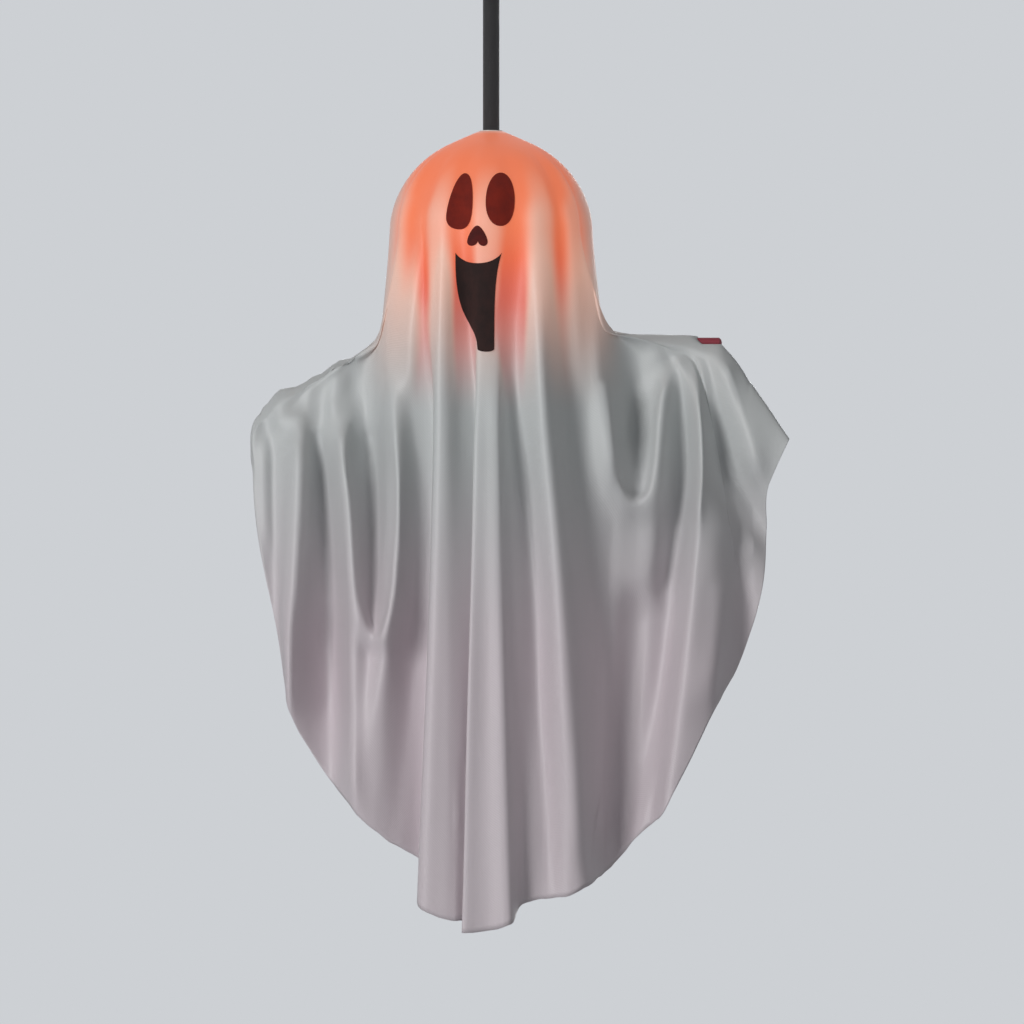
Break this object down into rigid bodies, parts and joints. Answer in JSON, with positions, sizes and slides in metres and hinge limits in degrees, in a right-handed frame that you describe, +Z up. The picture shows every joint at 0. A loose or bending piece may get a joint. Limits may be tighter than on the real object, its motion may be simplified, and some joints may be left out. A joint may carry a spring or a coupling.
{
  "type": "hanging ghost decoration",
  "caption": "White satin ghost draped over a ball lamp and two wire arms, with a printed face, hung from a black cord by an eye; it turns and sways on a bead.",
  "frame": {"origin": "centre of the hanging eye's bore", "axes": "+Z up along the cord, the face looks along -Y, +X is the viewer's right"},
  "size_m": [0.328, 0.1586, 0.5955],
  "materials": {
    "black_moulded": "gloss",
    "black_cord": "braided",
    "crimped_metal": "satin",
    "cream_bead": "gloss",
    "white_moulded": "matte",
    "frosted_shell": "frosted",
    "green_board": "satin",
    "lamp_resin": "clear",
    "resistor_coat": "gloss",
    "lead_vinyl": "satin",
    "cell_sleeve": "gloss",
    "plated_steel": "plated",
    "dark_moulded": "matte",
    "arm_steel": "coated",
    "red_vinyl": "satin",
    "white_satin": "satin weave",
    "dark_print": "printed"
  },
  "bodies": {
    "cord": {"hang_eye": "black_moulded", "hang_cord": "black_cord", "cord_ferrule": "crimped_metal"},
    "bead": {"stop_bead": "cream_bead"},
    "ghost": {"hanger_cap": "white_moulded", "head_shell_top": "frosted_shell", "head_shell_bottom": "frosted_shell", "lamp_post": "white_moulded", "lamp_board": "green_board", "lamps": "lamp_resin", "lamp_resistors": "resistor_coat", "lead_wires": "lead_vinyl", "battery_case": "white_moulded", "cells": "cell_sleeve", "contact_springs": "plated_steel", "contact_plates": "plated_steel", "switch_body": "dark_moulded", "shoulder_collar": "white_moulded", "collar_screws": "plated_steel", "arm_wire_right": "arm_steel", "arm_wire_left": "arm_steel", "wire_cap_right": "red_vinyl", "wire_cap_left": "red_vinyl", "drape": "white_satin", "eye_patch_left": "dark_print", "eye_patch_right": "dark_print", "nose_patch": "dark_print", "mouth_patch": "dark_print"},
    "door": {"battery_door": "white_moulded", "door_screws": "plated_steel"},
    "switch": {"switch_slider": "dark_moulded"}
  },
  "joints": [
    {"name": "spin", "type": "hinge", "parent": "cord", "child": "bead", "pos_m": [0, 0, -0.1112], "axis": [0, 0, 1], "continuous": true},
    {"name": "sway", "type": "hinge", "parent": "bead", "child": "ghost", "pos_m": [0, 0, -0.1112], "axis": [0, 1, 0], "range_deg": [-9, 9]},
    {"name": "door_lift", "type": "slide", "parent": "ghost", "child": "door", "axis": [0, 1, 0], "range_m": [0, 0.02]},
    {"name": "switch_slide", "type": "slide", "parent": "ghost", "child": "switch", "axis": [1, 0, 0], "range_m": [-0.003, 0]}
  ]
}
